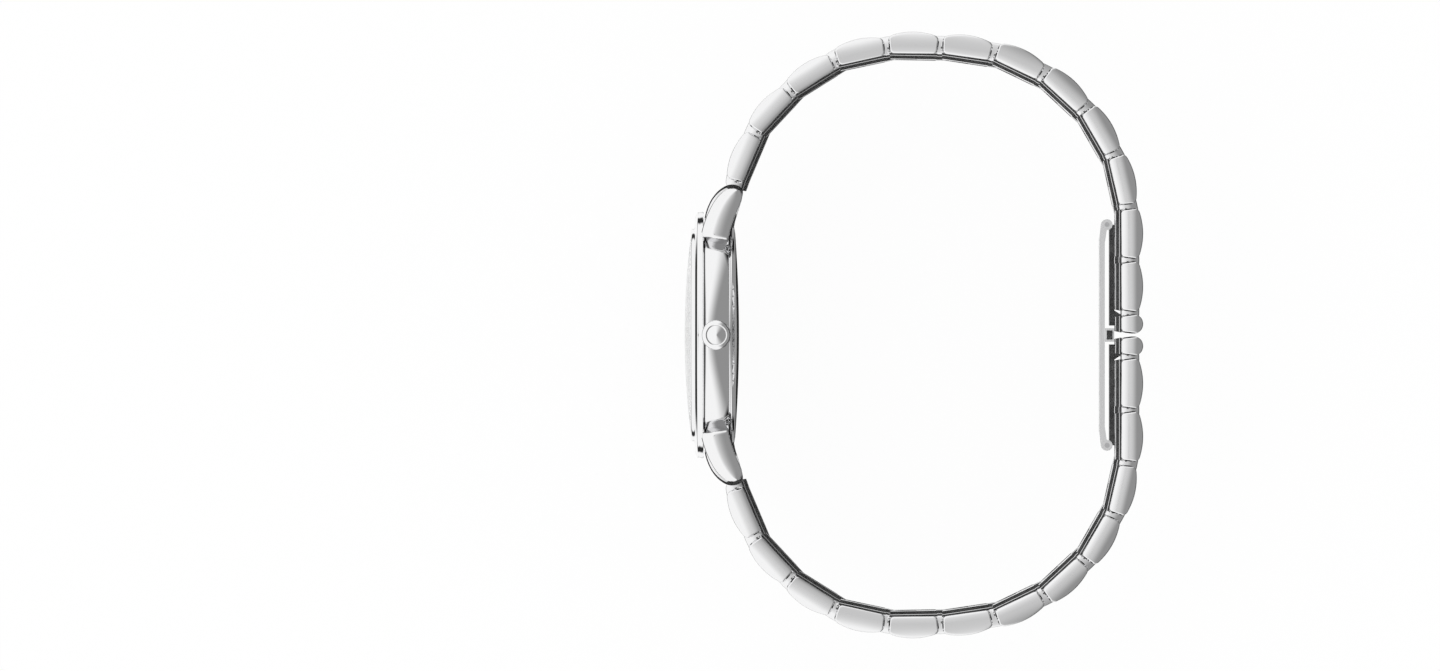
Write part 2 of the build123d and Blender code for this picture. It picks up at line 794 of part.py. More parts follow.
save(clasp_bridge, "clasp_bridge")

with BuildPart() as clasp_pins:
    pin(clasp_frame, bridge_half, clasp_pin_radius, (clasp_half_length, -bridge_eye_v))
    for stub_z in (-bridge_half + pin_stub / 2, bridge_half - pin_stub / 2):
        stub_frame = clasp_frame.offset(stub_z)
        pin(stub_frame, pin_stub / 2, clasp_pin_radius, (-clasp_half_length, -bridge_eye_v))
save(clasp_pins, "clasp_pins")

catch_top = blade_top + pusher_gap
pocket_height = bridge_top - catch_top - 2 * catch_wall
pocket_length = catch_length - 2.5 * catch_wall
pocket_v = -(bridge_top + catch_top) / 2
pocket_start_z = 0.6 * catch_width / 2
pusher_start_z = pocket_start_z + pusher_travel
pusher_end_z = last_link_width / 2 + pusher_reach

with BuildPart() as clasp_catch:
    with BuildSketch(clasp_frame.offset(-catch_width / 2)):
        with Locations((0, pocket_v)):
            Rectangle(catch_length, bridge_top - catch_top)
    extrude(amount=catch_width)
    for pocket_z in (pocket_start_z, -catch_width / 2):
        with BuildSketch(clasp_frame.offset(pocket_z)):
            with Locations((0, pocket_v)):
                Rectangle(pocket_length, pocket_height)
        extrude(amount=catch_width / 2 - pocket_start_z, mode=Mode.SUBTRACT)
save(clasp_catch, "clasp_catch")

for pusher_name, pusher_z in (("pusher_3h", -pusher_end_z), ("pusher_9h", pusher_start_z)):
    with BuildPart() as pusher:
        with BuildSketch(clasp_frame.offset(pusher_z)):
            with Locations((0, pocket_v)):
                Rectangle(pocket_length - 2 * pusher_gap, pocket_height - 2 * pusher_gap)
        extrude(amount=pusher_end_z - pusher_start_z)
    save(pusher, pusher_name)
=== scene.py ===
"""Looks of the bracelet watch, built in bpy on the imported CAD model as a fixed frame.

Lengths in the classes are millimetres in the model's own frame: X from the dial to the
wrist, Y towards 12 o'clock, Z towards 3 o'clock. Meshes are scaled to metres at the end.
"""
import json
import logging
from dataclasses import dataclass, field
from enum import Enum
from functools import partial
from math import cos, pi, radians, sin, sqrt
from typing import Callable, ClassVar, NamedTuple, Sequence

import bmesh
import bpy
from bmesh import ops
from bmesh.types import BMesh, BMFace, BMVert
from bpy.types import Material, NodeSocket, NodeTree, ShaderNodeTree
from mathutils import Matrix, Vector


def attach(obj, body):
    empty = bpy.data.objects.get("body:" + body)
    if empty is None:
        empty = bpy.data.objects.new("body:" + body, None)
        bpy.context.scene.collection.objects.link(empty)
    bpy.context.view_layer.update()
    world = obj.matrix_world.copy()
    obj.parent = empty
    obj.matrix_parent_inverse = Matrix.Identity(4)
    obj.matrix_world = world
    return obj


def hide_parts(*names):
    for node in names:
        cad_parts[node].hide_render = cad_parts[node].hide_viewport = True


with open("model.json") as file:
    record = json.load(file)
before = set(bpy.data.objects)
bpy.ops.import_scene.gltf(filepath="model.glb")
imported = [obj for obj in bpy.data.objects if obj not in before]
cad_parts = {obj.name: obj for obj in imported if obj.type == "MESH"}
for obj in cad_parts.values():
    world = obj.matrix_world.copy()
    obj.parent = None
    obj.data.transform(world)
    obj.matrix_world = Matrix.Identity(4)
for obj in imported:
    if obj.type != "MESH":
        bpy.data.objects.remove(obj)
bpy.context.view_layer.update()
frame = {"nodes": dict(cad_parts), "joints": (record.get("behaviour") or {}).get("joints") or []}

LOG = logging.getLogger("bracelet_watch")
MM = 0.001
MERGE_DISTANCE = 0.0005
SMOOTH_ANGLE = 32.0
ROUND_FACETS = 160
ORIGIN = Vector((0, 0, 0))
ALONG_X = Vector((1, 0, 0))
ALONG_Z = Vector((0, 0, 1))
Z_AXIS = 2
Y_AXIS = 1
Point = tuple[float, float]
Table = tuple[Point, ...]
Rows = tuple[tuple[float, ...], ...]


class Side(Enum):
    """The two halves of the bracelet."""

    TWELVE = "12h"
    SIX = "6h"


class Slot(Enum):
    """Material slots of the record, by name; no piece takes its finish from them."""

    POLISHED = "polished_steel"
    GLASS = "mineral_glass"


class Fade(NamedTuple):
    """A smooth change of a value: from start at low to end at high."""

    low: float
    high: float
    start: float
    end: float


def new_group(name: str, inputs: dict[str, float]) -> ShaderNodeTree:
    """Makes a shader node group that gives a roughness and a height, with sockets that are all values.

    Args:
        name: The group's name.
        inputs: Name and default of each input.

    Returns:
        The empty group, with its input and output nodes named "in" and "out".
    """
    group = bpy.data.node_groups.new(name, "ShaderNodeTree")
    for label, value in inputs.items():
        socket = group.interface.new_socket(name=label, in_out="INPUT", socket_type="NodeSocketFloat")
        socket.default_value = value
    for label in ("Roughness", "Height"):
        group.interface.new_socket(name=label, in_out="OUTPUT", socket_type="NodeSocketFloat")
    group.nodes.new("NodeGroupInput").name = "in"
    group.nodes.new("NodeGroupOutput").name = "out"
    return group


def math_node(tree: NodeTree, operation: str, *feeds: NodeSocket | float) -> NodeSocket:
    """Adds a Math node.

    Args:
        tree: The tree that gets the node.
        operation: The Math node's operation.
        feeds: Its inputs in order, each a socket or a number.

    Returns:
        The node's output socket.
    """
    node = tree.nodes.new("ShaderNodeMath")
    node.operation = operation
    for socket, feed in zip(node.inputs, feeds):
        if isinstance(feed, NodeSocket):
            tree.links.new(feed, socket)
        else:
            socket.default_value = feed
    return node.outputs[0]


def fade_node(tree: NodeTree, value: NodeSocket, fade: Fade) -> NodeSocket:
    """Adds a Map Range node that changes a value smoothly.

    Args:
        tree: The tree that gets the node.
        value: The socket to map.
        fade: The change.

    Returns:
        The mapped socket.
    """
    node = tree.nodes.new("ShaderNodeMapRange")
    node.interpolation_type = "SMOOTHSTEP"
    tree.links.new(value, node.inputs["Value"])
    for label, number in zip(("From Min", "From Max", "To Min", "To Max"), fade):
        node.inputs[label].default_value = number
    return node.outputs["Result"]


class NodeGroups:
    """Effects that several finishes share, each built once."""

    CLOUD_MIDDLE: ClassVar[float] = 0.5
    LEAST_ROUGHNESS: ClassVar[float] = 0.015
    POLISH_DETAIL: ClassVar[float] = 3.0
    GRAIN_DETAIL: ClassVar[float] = 2.0

    def __init__(self) -> None:
        """Builds every group."""
        self.polish = self._polish()
        self.grain = self._grain()

    def _polish(self) -> ShaderNodeTree:
        """Faint handling marks on a polished surface: a little uneven gloss and a very fine waviness.

        Returns:
            The group.
        """
        group = new_group("polish_marks", {"Roughness": 0.06, "Spread": 0.03, "Scale": 900.0})
        given, result = group.nodes["in"].outputs, group.nodes["out"].inputs
        coordinates = group.nodes.new("ShaderNodeTexCoord")
        cloud = group.nodes.new("ShaderNodeTexNoise")
        cloud.inputs["Detail"].default_value = self.POLISH_DETAIL
        group.links.new(coordinates.outputs["Object"], cloud.inputs["Vector"])
        group.links.new(given["Scale"], cloud.inputs["Scale"])
        varied = self._varied(group, cloud.outputs["Fac"], given["Spread"])
        group.links.new(math_node(group, "MAXIMUM", varied, self.LEAST_ROUGHNESS), result["Roughness"])
        group.links.new(cloud.outputs["Fac"], result["Height"])
        return group

    def _grain(self) -> ShaderNodeTree:
        """Fine parallel grain, as on brushed metal, stretched along one direction by its scales.

        Returns:
            The group.
        """
        group = new_group("fine_grain", {"Along": 300.0, "Across": 9000.0, "Strength": 0.1, "Roughness": 0.3})
        given, result = group.nodes["in"].outputs, group.nodes["out"].inputs
        coordinates = group.nodes.new("ShaderNodeTexCoord")
        scales = group.nodes.new("ShaderNodeCombineXYZ")
        stretched = group.nodes.new("ShaderNodeVectorMath")
        stretched.operation = "MULTIPLY"
        cloud = group.nodes.new("ShaderNodeTexNoise")
        cloud.inputs["Scale"].default_value = 1.0
        cloud.inputs["Detail"].default_value = self.GRAIN_DETAIL
        for axis, label in (("X", "Across"), ("Y", "Along"), ("Z", "Across")):
            group.links.new(given[label], scales.inputs[axis])
        group.links.new(coordinates.outputs["Object"], stretched.inputs[0])
        group.links.new(scales.outputs["Vector"], stretched.inputs[1])
        group.links.new(stretched.outputs["Vector"], cloud.inputs["Vector"])
        group.links.new(self._varied(group, cloud.outputs["Fac"], given["Strength"]), result["Roughness"])
        group.links.new(cloud.outputs["Fac"], result["Height"])
        return group

    def _varied(self, group: ShaderNodeTree, cloud: NodeSocket, spread: NodeSocket) -> NodeSocket:
        """The group's roughness, varied by a noise as far as the spread says."""
        centred = math_node(group, "SUBTRACT", cloud, self.CLOUD_MIDDLE)
        return math_node(group, "MULTIPLY_ADD", centred, spread, group.nodes["in"].outputs["Roughness"])


@dataclass(frozen=True)
class Finish:
    """A plain description of one surface, from which its material is made."""

    name: str
    colour: tuple[float, float, float]
    metallic: float = 1.0
    roughness: float = 0.06
    spread: float = 0.03
    scale: float = 900.0
    bump: float = 0.0
    bump_strength: float = 0.5
    coat: float = 0.0
    brushed: bool = False
    glass: bool = False
    glass_ior: float = 1.5
    glass_alpha: float = 0.35
    tint: float = 0.0

    def build(self, groups: NodeGroups) -> Material:
        """Makes the material.

        Args:
            groups: The shared effects.

        Returns:
            The material, with its shader in the material itself.
        """
        material = bpy.data.materials.new(self.name)
        material.use_nodes = True
        tree = material.node_tree
        shader = tree.nodes["Principled BSDF"]
        shader.inputs["Base Color"].default_value = (*self.colour, 1.0)
        shader.inputs["Metallic"].default_value = self.metallic
        shader.inputs["Coat Weight"].default_value = self.coat
        effect = tree.nodes.new("ShaderNodeGroup")
        effect.node_tree = groups.grain if self.brushed else groups.polish
        effect.inputs["Roughness"].default_value = self.roughness
        effect.inputs["Strength" if self.brushed else "Spread"].default_value = self.spread
        if not self.brushed:
            effect.inputs["Scale"].default_value = self.scale
        tree.links.new(effect.outputs["Roughness"], shader.inputs["Roughness"])
        if self.bump:
            bump = tree.nodes.new("ShaderNodeBump")
            bump.inputs["Distance"].default_value = self.bump
            bump.inputs["Strength"].default_value = self.bump_strength
            tree.links.new(effect.outputs["Height"], bump.inputs["Height"])
            tree.links.new(bump.outputs["Normal"], shader.inputs["Normal"])
        if self.tint:
            mix = tree.nodes.new("ShaderNodeMix")
            mix.data_type = "RGBA"
            mix.inputs["A"].default_value = (*self.colour, 1.0)
            mix.inputs["B"].default_value = (*(channel * (1.0 - self.tint) for channel in self.colour), 1.0)
            tree.links.new(effect.outputs["Height"], mix.inputs["Factor"])
            tree.links.new(mix.outputs["Result"], shader.inputs["Base Color"])
        if self.glass:
            shader.inputs["Transmission Weight"].default_value = 1.0
            shader.inputs["IOR"].default_value = self.glass_ior
            shader.inputs["Alpha"].default_value = self.glass_alpha
        return material


class Finishes:
    """All the materials of the watch, made once."""

    SPECS: ClassVar[tuple[Finish, ...]] = (
        Finish("steel_polished", (0.90, 0.90, 0.905), roughness=0.045),
        Finish("steel_brushed", (0.78, 0.78, 0.785), roughness=0.26, spread=0.22, brushed=True, bump=4e-6),
        # Near-black matte finish for faces in the joint under the bezel: painted shade, standing in for the
        # shadow in that gap.
        Finish("joint_painted_shade", (0.02, 0.02, 0.02), metallic=0.0, roughness=0.5, spread=0.2, tint=0.3),
        Finish("steel_plain", (0.62, 0.62, 0.63), roughness=0.22, spread=0.15, scale=1500.0, tint=0.15),
        Finish("crystal_glass", (0.97, 0.985, 0.99), metallic=0.0, roughness=0.015, spread=0.0, glass=True),
        Finish("dial_lacquer", (0.88, 0.88, 0.86), metallic=0.0, roughness=0.32, spread=0.05, coat=0.4,
               scale=2500.0, tint=0.04),
        Finish("marker_metal", (0.70, 0.71, 0.73), roughness=0.10, spread=0.05),
        Finish("hand_metal", (0.20, 0.21, 0.24), roughness=0.12, spread=0.05),
        Finish("wheel_brass", (0.79, 0.62, 0.33), roughness=0.24, spread=0.12, brushed=True),
        Finish("plate_brass", (0.74, 0.62, 0.38), roughness=0.35, spread=0.15, scale=1800.0, tint=0.2),
        Finish("holder_plastic", (0.82, 0.82, 0.79), metallic=0.0, roughness=0.5, spread=0.1, scale=1200.0,
               tint=0.08, bump=1e-5),
        Finish("coil_copper", (0.72, 0.30, 0.12), roughness=0.3, spread=0.3, brushed=True, bump=2e-5),
        Finish("board_green", (0.05, 0.22, 0.12), metallic=0.0, roughness=0.45, spread=0.1, coat=0.3,
               tint=0.3),
        Finish("gasket_black", (0.03, 0.03, 0.03), metallic=0.0, roughness=0.6, spread=0.1, tint=0.2),
    )

    def __init__(self) -> None:
        """Builds every material."""
        groups = NodeGroups()
        self.by_name: dict[str, Material] = {spec.name: spec.build(groups) for spec in self.SPECS}

    def __getitem__(self, name: str) -> Material:
        """The material of that name."""
        return self.by_name[name]


def finish_piece(
    bm: BMesh,
    name: str,
    finishes: Finishes,
    replaces: Sequence[str],
    body: str = "watch_head",
    finish: str = "steel_polished",
    in_joint: Callable[[Vector], bool] | None = None,
) -> None:
    """Turns a mesh drawn in millimetres into a finished piece of the watch, at the origin.

    Args:
        bm: The mesh, in the row frame, in millimetres. It is freed.
        name: The piece's name.
        finishes: All the materials.
        replaces: CAD nodes that it stands for.
        body: The CAD body it rides on.
        finish: Name of its material.
        in_joint: Tells of a face's centre whether it lies in a narrow joint, whose faces then get a
            near-black finish: painted shade for the gap.
    """
    ops.remove_doubles(bm, verts=bm.verts, dist=MERGE_DISTANCE)
    ops.recalc_face_normals(bm, faces=bm.faces)
    for face in bm.faces:
        face.smooth = True
    for edge in bm.edges:
        edge.smooth = len(edge.link_faces) == 2 and edge.calc_face_angle(0.0) < radians(SMOOTH_ANGLE)
    ops.scale(bm, vec=(MM, MM, MM), verts=bm.verts)
    mesh = bpy.data.meshes.new(name)
    bm.to_mesh(mesh)
    bm.free()
    mesh.materials.append(finishes[finish])
    # Faces in a joint take a second, near-black material: painted shade standing in for the shadow in the
    # gap.
    if in_joint is not None:
        mesh.materials.append(finishes["joint_painted_shade"])
        for polygon in mesh.polygons:
            polygon.material_index = int(in_joint(polygon.center / MM))
    piece = bpy.data.objects.new(name, mesh)
    bpy.context.scene.collection.objects.link(piece)
    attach(piece, body)
    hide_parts(*replaces)
    LOG.info("%s: %d faces on %s", name, len(mesh.polygons), body)


def lathe(
    profile: Sequence[Point], axis: Vector, centre: Vector = ORIGIN, steps: int = ROUND_FACETS,
    closed: bool = False,
) -> BMesh:
    """Spins a profile round an axis.

    Args:
        profile: Points as (along the axis, radius).
        axis: The axis, +X or +Z.
        centre: A point on the axis.
        steps: Facets round the axis.
        closed: Whether the last point joins the first.

    Returns:
        The mesh.
    """
    bm = bmesh.new()
    across = Vector((0, 1, 0)) if axis.x else Vector((1, 0, 0))
    verts = [bm.verts.new(centre + axis * along + across * radius) for along, radius in profile]
    pairs = list(zip(verts, verts[1:])) + ([(verts[-1], verts[0])] if closed else [])
    edges = [bm.edges.new(pair) for pair in pairs]
    ops.spin(bm, geom=[*verts, *edges], cent=centre, axis=axis, angle=2 * pi, steps=steps, use_merge=True)
    ops.remove_doubles(bm, verts=bm.verts, dist=MERGE_DISTANCE)
    return bm


def sweep(bm: BMesh, sections: Sequence[Sequence[Vector]]) -> None:
    """Extrudes a closed section from station to station, and leaves both ends closed.

    Args:
        bm: The mesh that gets the bar.
        sections: The section's corners at each station, as many at each.
    """
    face = bm.faces.new([bm.verts.new(corner) for corner in sections[0]])
    for index, (previous, section) in enumerate(zip(sections, sections[1:])):
        if index:
            face = ops.extrude_discrete_faces(bm, faces=[face])["faces"][0]
        else:
            grown = ops.extrude_face_region(bm, geom=[face], use_keep_orig=True)
            face = next(part for part in grown["geom"] if isinstance(part, BMFace))
        for vert in face.verts:
            nearest = min(range(len(previous)), key=lambda k: (vert.co - previous[k]).length)
            vert.co = section[nearest]


def refined(rows: Sequence[Sequence[float]], steps: int) -> list[list[float]]:
    """Rows of numbers with more rows put between them, along a smooth curve through the given ones.

    Args:
        rows: The given rows.
        steps: How many steps each gap is cut into.

    Returns:
        The given rows and the new ones, in order.
    """
    found = []
    for index in range(len(rows) - 1):
        near = [rows[max(0, min(len(rows) - 1, index + shift))] for shift in (-1, 0, 1, 2)]
        for step in range(steps):
            t = step / steps
            found.append([
                b + 0.5 * ((c - a) * t + (2 * a - 5 * b + 4 * c - d) * t * t + (3 * b - a - 3 * c + d) * t**3)
                for a, b, c, d in zip(*near)
            ])
    return [*found, list(rows[-1])]


def join_into(target: BMesh, source: BMesh, matrix: Matrix = Matrix.Identity(4)) -> None:
    """Copies one mesh into another through a transform, and frees it.

    Args:
        target: The mesh that gets the copy.
        source: The mesh that is copied and freed.
        matrix: The transform.
    """
    ops.transform(source, matrix=matrix, verts=source.verts)
    holder = bpy.data.meshes.new("holder")
    source.to_mesh(holder)
    source.free()
    target.from_mesh(holder)
    bpy.data.meshes.remove(holder)


def mirrored_copy(bm: BMesh, axis: int) -> None:
    """Adds a mirror image of the whole mesh, across the plane through the origin square to an axis.

    Args:
        bm: The mesh.
        axis: The axis, as 0 to 2.
    """
    copy = ops.duplicate(bm, geom=[*bm.verts, *bm.edges, *bm.faces])
    verts = [part for part in copy["geom"] if isinstance(part, BMVert)]
    scale = [1.0, 1.0, 1.0]
    scale[axis] = -1.0
    ops.scale(bm, vec=scale, verts=verts)
    ops.reverse_faces(bm, faces=[part for part in copy["geom"] if isinstance(part, BMFace)])


@dataclass
class Bracelet:
    """The links of both halves, each two domed outer pieces, a centre piece and a pin.

    The side rims and end rims are tables of (inside the outline, below the side face). The band's
    tables are (inside its side, below its step) and (inside its side, above its underside).
    """

    finishes: Finishes
    pitch: float = 6.25
    gap: float = 0.15
    pin_inset: float = 0.90
    pin_radius: float = 0.45
    first_width: float = 13.8
    last_width: float = 11.5
    count: int = 12
    row_half: float = 2.40
    outer_inner: float = 2.46
    base: float = -1.15
    shoulder: float = 1.50
    apex: float = 2.10
    centre_shoulder: float = 1.30
    centre_apex: float = 1.70
    pillow_foot: float = -0.50
    pillow_lean: float = 0.24
    side_fall: float = 0.63
    side_rise: float = 0.35
    side_turn: float = 0.36
    side_taper: float = 0.0167
    foot_share: float = 0.8
    foot_corner: float = 0.55
    top_corner: float = 0.60
    inner_corner: Point = (0.10, 0.07)
    band_top: float = -0.52
    band_overlap: float = 0.08
    band_inset: float = 0.16
    band_step: float = 0.17
    band_lean: float = 0.225
    band_slope: float = 0.22
    web_start: float = 0.35
    web_end: float = 0.45
    web_inset: float = 0.10
    clasp_room: float = 1.5
    seam_to_pin: float = 1.60
    seam_gap: float = 0.20
    joints: dict[str, Vector] = field(default_factory=dict)
    FACETS: ClassVar[int] = 12
    PIN_FACETS: ClassVar[int] = 24
    SIDE_RIM: ClassVar[Table] = (
        (0.0, 0.17), (0.015, 0.125), (0.045, 0.045), (0.08, 0.018), (0.12, 0.006), (0.18, 0.0),
    )
    END_RIM: ClassVar[Table] = ((0.0, 0.395), (0.14, 0.05), (0.16, 0.02), (0.20, 0.0))
    END_STATIONS: ClassVar[tuple[float, ...]] = (
        0.0, 0.03, 0.07, 0.11, 0.14, 0.16, 0.20, 0.28, 0.38, 0.48, 0.60,
    )
    BAND_STEP: ClassVar[Table] = (
        (0.0, -0.01), (0.0, 0.0), (0.012, 0.032), (0.035, 0.036), (0.035, 0.05),
    )
    BAND_FOOT: ClassVar[Table] = ((0.035, 0.055), (0.035, 0.04), (0.08, 0.01), (0.11, 0.0))

    def __post_init__(self) -> None:
        """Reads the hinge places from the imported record."""
        for joint in frame["joints"]:
            if joint["type"] == "hinge":
                self.joints[joint["name"]] = Vector(joint["pos_m"]) / MM

    def place(self, side: Side, index: int) -> Matrix:
        """The transform from a link's own plane to the row frame.

        Args:
            side: Which half of the bracelet.
            index: The link's number, from 1.

        Returns:
            Columns along the link, away from the wrist and along Z.
        """
        start = self.joints[f"hinge_{side.value}_{index:02d}"]
        last = index == self.count
        end = self.joints[f"clasp_{side.value}_turn" if last else f"hinge_{side.value}_{index + 1:02d}"]
        along = (end - start).normalized()
        away = Vector((-along.y, along.x, 0.0)) if side is Side.TWELVE else Vector((along.y, -along.x, 0.0))
        matrix = Matrix.Identity(4)
        matrix.col[0][:3], matrix.col[1][:3], matrix.col[3][:3] = along, away, start
        return matrix

    def pillow(
        self, start: float, end: float, inner: float, outer: float, shoulder: float, apex: float
    ) -> BMesh:
        """One domed piece with a rounded side face, flat on its inner side.

        Args:
            start: Where it starts along the link.
            end: Where it ends.
            inner: Z of its inner side.
            outer: Z of its side face.
            shoulder: Height of the dome at its ends.
            apex: Height of the dome in the middle.

        Returns:
            The mesh in the link's own plane.
        """
        low, middle, half = self.pillow_foot, (start + end) / 2, (end - start) / 2
        between = half - self.END_STATIONS[-1]
        steps = [-half + near for near in self.END_STATIONS]
        steps += [-between + 2 * between * k / self.FACETS for k in range(1, self.FACETS)]
        steps += [half - near for near in reversed(self.END_STATIONS)]
        sections = []
        for along in steps:
            near = half - abs(along)
            foot = low + self.corner_rise(near, self.foot_corner)
            arch = (apex - shoulder) * (1 - (along / half) ** 2)
            top = shoulder + arch - self.corner_rise(near, self.top_corner)
            section = [(foot, inner)]
            for height in self.side_heights(foot, top):
                rim = self.rim_drop(min(self.foot_share * (height - foot), top - height), self.SIDE_RIM)
                drop = max(rim, self.rim_drop(near, self.END_RIM)) + self.side_taper * (along + half)
                share = (height - low) / (apex - low) - self.side_turn
                drop += self.side_fall * share**3 if share > 0 else self.side_rise * share * share
                section.append((height, outer - drop))
            section += [(top, inner + self.inner_corner[0]), (top - self.inner_corner[1], inner)]
            corners = []
            for height, across in section:
                lean = self.pillow_lean / half * min(max((shoulder - height) / (shoulder - low), 0.0), 1.0)
                corners.append(Vector((middle + along * (1 - lean), height, across)))
            sections.append(corners)
        bm = bmesh.new()
        sweep(bm, sections)
        return bm

    def centre_pillow(self, start: float, end: float) -> BMesh:
        """The crown's half of a centre piece's dome, from where it starts to where it ends."""
        return self.pillow(start, end, 0.0, self.row_half, self.centre_shoulder, self.centre_apex)

    def side_heights(self, foot: float, top: float) -> list[float]:
        """Heights of the side face's corners, closer together at its rims.

        Args:
            foot: Height of its foot.
            top: Height of its top.

        Returns:
            The heights, upwards.
        """
        edges = [inside for inside, _ in self.SIDE_RIM]
        between = top - foot - 2 * edges[-1]
        heights = [foot + edge for edge in edges]
        heights += [foot + edges[-1] + between * k / self.FACETS for k in range(1, self.FACETS)]
        return heights + [top - edge for edge in reversed(edges)]

    @staticmethod
    def corner_rise(near: float, radius: float) -> float:
        """How far a rounded corner pulls the outline in, at a distance from the end."""
        inside = max(radius - near, 0.0)
        return radius - sqrt(radius * radius - inside * inside)

    @staticmethod
    def rim_drop(near: float, steps: Sequence[Point]) -> float:
        """How far the side face has rounded over.

        Args:
            near: Distance from the face's outline.
            steps: The rim's table.

        Returns:
            The drop below the face.
        """
        for (first, high), (second, lower) in zip(steps, steps[1:]):
            if near <= second:
                return high + (lower - high) * (near - first) / (second - first)
        return 0.0

    def band(self, start: float, end: float, inner: float, outer: float) -> BMesh:
        """The base plate under an outer piece: its side is flat, in two steps.

        Args:
            start: Where it starts along the link.
            end: Where it ends.
            inner: Z of its inner side.
            outer: Z of the link's side face.

        Returns:
            The mesh in the link's own plane.
        """
        low, top = self.base, self.band_top + self.band_overlap
        edge, step = outer - self.band_inset, self.band_top - self.band_step
        section = [
            (inner, top), (edge, top),
            *((edge - inside, step - below) for inside, below in self.BAND_STEP),
            *((edge - inside, low + above) for inside, above in self.BAND_FOOT),
            (inner, low),
        ]
        bm = bmesh.new()
        face = bm.faces.new([bm.verts.new((start, y, z)) for z, y in section])
        far = ops.extrude_face_region(bm, geom=[face])
        for vert in (part for part in far["geom"] if isinstance(part, BMVert)):
            vert.co.x = end
        middle, half = (start + end) / 2, (end - start) / 2
        for vert in bm.verts:
            inward = self.band_lean + (self.band_top - vert.co.y) * self.band_slope
            vert.co.x = middle + (vert.co.x - middle) * (1 - inward / half)
        return bm

    def pin(self, along: float) -> BMesh:
        """A pin across the link.

        Args:
            along: Where it sits along the link.

        Returns:
            The mesh in the link's own plane.
        """
        bm = bmesh.new()
        size = {"radius1": self.pin_radius, "radius2": self.pin_radius, "depth": 2 * self.outer_inner}
        ops.create_cone(bm, cap_ends=True, segments=self.PIN_FACETS, **size)
        ops.translate(bm, vec=(along, 0, 0), verts=bm.verts)
        return bm

    def web(self, start: float, end: float) -> BMesh:
        """The block inside a link that holds its three pieces together.

        Args:
            start: Where it starts along the link.
            end: Where it ends.

        Returns:
            The mesh in the link's own plane.
        """
        bm = bmesh.new()
        height = self.centre_shoulder - self.band_top - self.web_inset
        centre = ((start + end) / 2, (self.centre_shoulder + self.band_top) / 2, 0)
        ops.create_cube(bm, size=1.0)
        ops.scale(bm, vec=(end - start, height, 2 * self.outer_inner), verts=bm.verts)
        ops.translate(bm, vec=centre, verts=bm.verts)
        return bm

    def link(self, index: int) -> BMesh:
        """One link in its own plane.

        Args:
            index: The link's number, from 1.

        Returns:
            The mesh.
        """
        bm = bmesh.new()
        taper = (self.first_width - self.last_width) / (self.count - 1)
        outer = (self.first_width - taper * (index - 1)) / 2
        start, end = -self.pin_inset, self.pitch - self.gap - self.pin_inset
        last = index == self.count
        seam = self.pitch + self.seam_to_pin - self.seam_gap / 2
        pieces = [(start, end)] + ([(self.pitch - self.pin_inset, seam)] if last else [])
        for place in pieces:
            join_into(bm, self.pillow(*place, self.outer_inner, outer, self.shoulder, self.apex))
            join_into(bm, self.band(*place, self.outer_inner, outer))
        centre_start = self.pitch / 2 - self.pin_inset
        centre_end = seam if last else centre_start + self.pitch - self.gap
        band_end = self.pitch - self.clasp_room if last else centre_end
        join_into(bm, self.centre_pillow(centre_start, centre_end))
        join_into(bm, self.band(centre_start, band_end, 0.0, self.row_half))
        mirrored_copy(bm, Z_AXIS)
        join_into(bm, self.pin(0.0))
        join_into(bm, self.web(centre_start + self.web_start, end - self.web_end))
        if last:
            join_into(bm, self.pin(self.pitch))
        return bm

    def build(self) -> None:
        """Builds all the links and puts them in place."""
        for index in range(1, self.count + 1):
            for side in Side:
                bm = self.link(index)
                ops.transform(bm, matrix=self.place(side, index), verts=bm.verts)
                node = f"link_{side.value}_{index:02d}"
                finish_piece(bm, f"{node}_polished", self.finishes, [node], f"{node}_body")


